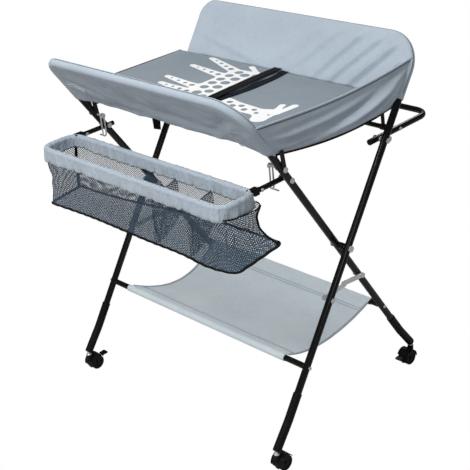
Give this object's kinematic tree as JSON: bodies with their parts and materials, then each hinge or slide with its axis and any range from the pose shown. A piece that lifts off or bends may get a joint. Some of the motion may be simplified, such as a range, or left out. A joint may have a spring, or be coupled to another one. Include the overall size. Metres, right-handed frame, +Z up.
{
  "type": "changing table",
  "caption": "Folding changing table: crossed tube frames on casters, padded bed with raised cloth sides, mesh basket, cloth shelf and towel rack.",
  "frame": {"origin": "on the floor under the middle of the table", "axes": "+X along the bed to the end with the cloth end wall, +Y to the towel rack side, +Z up"},
  "size_m": [0.8121, 0.777, 0.9966],
  "materials": {
    "black_tube": "gloss powder coat",
    "black_bracket": "satin",
    "black_plastic": "satin moulded",
    "wheel_rubber": "smooth",
    "bright_steel": "polished",
    "zinc_steel": "zinc plated",
    "board": "fibreboard",
    "grey_cloth": "woven polyester",
    "printed_cloth": "woven polyester with pale print",
    "black_webbing": "woven webbing",
    "navy_webbing": "woven webbing",
    "mesh_cloth": "open mesh"
  },
  "bodies": {
    "inner_frame": {"inner_hoop": "black_tube", "inner_lower_legs": "black_tube", "inner_shelf_rail": "black_tube", "pivot_bolts": "bright_steel", "pivot_spacers": "black_plastic", "inner_rivets": "bright_steel", "front_panel": "grey_cloth", "end_wall": "grey_cloth", "shelf_cloth": "grey_cloth"},
    "outer_frame": {"outer_hoop": "black_tube", "outer_lower_legs": "black_tube", "outer_shelf_rail": "black_tube", "outer_rivets": "bright_steel", "rack_latches": "zinc_steel", "back_panel": "grey_cloth"},
    "bed": {"bed_ring": "black_tube", "bed_crossbars": "black_tube", "bed_board": "board", "mattress": "printed_cloth", "mattress_end": "printed_cloth", "bed_hangers": "black_bracket", "latch_rail": "black_tube", "latch_links": "black_bracket", "safety_belt": "black_webbing", "loose_strap": "navy_webbing", "pull_strap": "black_webbing"},
    "basket": {"basket_rim": "black_tube", "basket_arms": "black_tube", "basket_brackets": "black_plastic", "basket_bag": "mesh_cloth", "basket_dividers": "mesh_cloth", "basket_studs": "bright_steel"},
    "rack": {"towel_rack": "black_tube", "rack_caps": "black_plastic", "rack_studs": "bright_steel"},
    "brace_rear_left": {"brace_rear_left": "zinc_steel"},
    "brace_front_left": {"brace_front_left": "zinc_steel"},
    "bail_left": {"basket_bail_left": "bright_steel"},
    "brace_rear_right": {"brace_rear_right": "zinc_steel"},
    "brace_front_right": {"brace_front_right": "zinc_steel"},
    "bail_right": {"basket_bail_right": "bright_steel"},
    "foot_front_left": {"foot_sleeve_front_left": "black_plastic", "caster_stem_front_left": "bright_steel"},
    "caster_front_left": {"caster_hood_front_left": "black_plastic"},
    "wheels_front_left": {"caster_wheels_front_left": "wheel_rubber"},
    "foot_front_right": {"foot_sleeve_front_right": "black_plastic", "caster_stem_front_right": "bright_steel"},
    "caster_front_right": {"caster_hood_front_right": "black_plastic"},
    "wheels_front_right": {"caster_wheels_front_right": "wheel_rubber"},
    "foot_rear_left": {"foot_sleeve_rear_left": "black_plastic", "caster_stem_rear_left": "bright_steel"},
    "caster_rear_left": {"caster_hood_rear_left": "black_plastic"},
    "wheels_rear_left": {"caster_wheels_rear_left": "wheel_rubber"},
    "foot_rear_right": {"foot_sleeve_rear_right": "black_plastic", "caster_stem_rear_right": "bright_steel"},
    "caster_rear_right": {"caster_hood_rear_right": "black_plastic"},
    "wheels_rear_right": {"caster_wheels_rear_right": "wheel_rubber"},
    "brake_front_left": {"brake_lever_front_left": "black_plastic"},
    "brake_rear_right": {"brake_lever_rear_right": "black_plastic"}
  },
  "joints": [
    {"name": "fold", "type": "hinge", "parent": "inner_frame", "child": "outer_frame", "pos_m": [0, 0, 0.516], "axis": [1, 0, 0], "range_deg": [0, 58], "deforming": ["mattress_end", "end_wall", "shelf_cloth"]},
    {"name": "bed_tilt", "type": "hinge", "parent": "inner_frame", "child": "bed", "pos_m": [0, -0.18685, 0.79405], "axis": [1, 0, 0], "range_deg": [-41, 0.5]},
    {"name": "basket_fold", "type": "hinge", "parent": "inner_frame", "child": "basket", "pos_m": [0, -0.16161, 0.7565], "axis": [1, 0, 0], "range_deg": [-35, 0]},
    {"name": "rack_fold", "type": "hinge", "parent": "outer_frame", "child": "rack", "pos_m": [0, 0.16161, 0.7565], "axis": [1, 0, 0], "range_deg": [0, 46]},
    {"name": "brace_rear_fold_left", "type": "hinge", "parent": "inner_frame", "child": "brace_rear_left", "pos_m": [0, 0.08266, 0.39299], "axis": [1, 0, 0], "range_deg": [-72.5, 0.5]},
    {"name": "brace_front_fold_left", "type": "hinge", "parent": "outer_frame", "child": "brace_front_left", "pos_m": [0, -0.07797, 0.39996], "axis": [1, 0, 0], "range_deg": [-0.5, 18.5]},
    {"name": "bail_swing_left", "type": "hinge", "parent": "inner_frame", "child": "bail_left", "pos_m": [0, -0.18685, 0.79405], "axis": [1, 0, 0], "range_deg": [-20, 20]},
    {"name": "brace_rear_fold_right", "type": "hinge", "parent": "inner_frame", "child": "brace_rear_right", "pos_m": [0, 0.08266, 0.39299], "axis": [1, 0, 0], "range_deg": [-72.5, 0.5]},
    {"name": "brace_front_fold_right", "type": "hinge", "parent": "outer_frame", "child": "brace_front_right", "pos_m": [0, -0.07797, 0.39996], "axis": [1, 0, 0], "range_deg": [-0.5, 18.5]},
    {"name": "bail_swing_right", "type": "hinge", "parent": "inner_frame", "child": "bail_right", "pos_m": [0, -0.18685, 0.79405], "axis": [1, 0, 0], "range_deg": [-20, 20]},
    {"name": "height_front_left", "type": "slide", "parent": "outer_frame", "child": "foot_front_left", "axis": [0, -0.5577, -0.83], "range_m": [0, 0.04]},
    {"name": "swivel_front_left", "type": "hinge", "parent": "foot_front_left", "child": "caster_front_left", "pos_m": [-0.385, -0.31206, 0.045], "axis": [0, 0, 1], "continuous": true},
    {"name": "roll_front_left", "type": "hinge", "parent": "caster_front_left", "child": "wheels_front_left", "pos_m": [-0.385, -0.29406, 0.0215], "axis": [1, 0, 0], "continuous": true},
    {"name": "height_front_right", "type": "slide", "parent": "outer_frame", "child": "foot_front_right", "axis": [0, -0.5577, -0.83], "range_m": [0, 0.04]},
    {"name": "swivel_front_right", "type": "hinge", "parent": "foot_front_right", "child": "caster_front_right", "pos_m": [0.385, -0.31206, 0.045], "axis": [0, 0, 1], "continuous": true},
    {"name": "roll_front_right", "type": "hinge", "parent": "caster_front_right", "child": "wheels_front_right", "pos_m": [0.385, -0.29406, 0.0215], "axis": [1, 0, 0], "continuous": true},
    {"name": "height_rear_left", "type": "slide", "parent": "inner_frame", "child": "foot_rear_left", "axis": [0, 0.5577, -0.83], "range_m": [0, 0.04]},
    {"name": "swivel_rear_left", "type": "hinge", "parent": "foot_rear_left", "child": "caster_rear_left", "pos_m": [-0.348, 0.31206, 0.045], "axis": [0, 0, 1], "continuous": true},
    {"name": "roll_rear_left", "type": "hinge", "parent": "caster_rear_left", "child": "wheels_rear_left", "pos_m": [-0.348, 0.29406, 0.0215], "axis": [1, 0, 0], "continuous": true},
    {"name": "height_rear_right", "type": "slide", "parent": "inner_frame", "child": "foot_rear_right", "axis": [0, 0.5577, -0.83], "range_m": [0, 0.04]},
    {"name": "swivel_rear_right", "type": "hinge", "parent": "foot_rear_right", "child": "caster_rear_right", "pos_m": [0.348, 0.31206, 0.045], "axis": [0, 0, 1], "continuous": true},
    {"name": "roll_rear_right", "type": "hinge", "parent": "caster_rear_right", "child": "wheels_rear_right", "pos_m": [0.348, 0.29406, 0.0215], "axis": [1, 0, 0], "continuous": true},
    {"name": "brake_front_left", "type": "hinge", "parent": "caster_front_left", "child": "brake_front_left", "pos_m": [-0.385, -0.26606, 0.0325], "axis": [1, 0, 0], "range_deg": [0, 18]},
    {"name": "brake_rear_right", "type": "hinge", "parent": "caster_rear_right", "child": "brake_rear_right", "pos_m": [0.348, 0.26606, 0.0325], "axis": [-1, 0, 0], "range_deg": [0, 18]}
  ],
  "couplings": [
    {"joint": "bed_tilt", "follows": "fold", "ratio": -0.7},
    {"joint": "brace_rear_fold_left", "follows": "fold", "ratio": -1.24},
    {"joint": "brace_front_fold_left", "follows": "fold", "ratio": 0.31},
    {"joint": "brace_rear_fold_right", "follows": "fold", "ratio": -1.24},
    {"joint": "brace_front_fold_right", "follows": "fold", "ratio": 0.31}
  ]
}
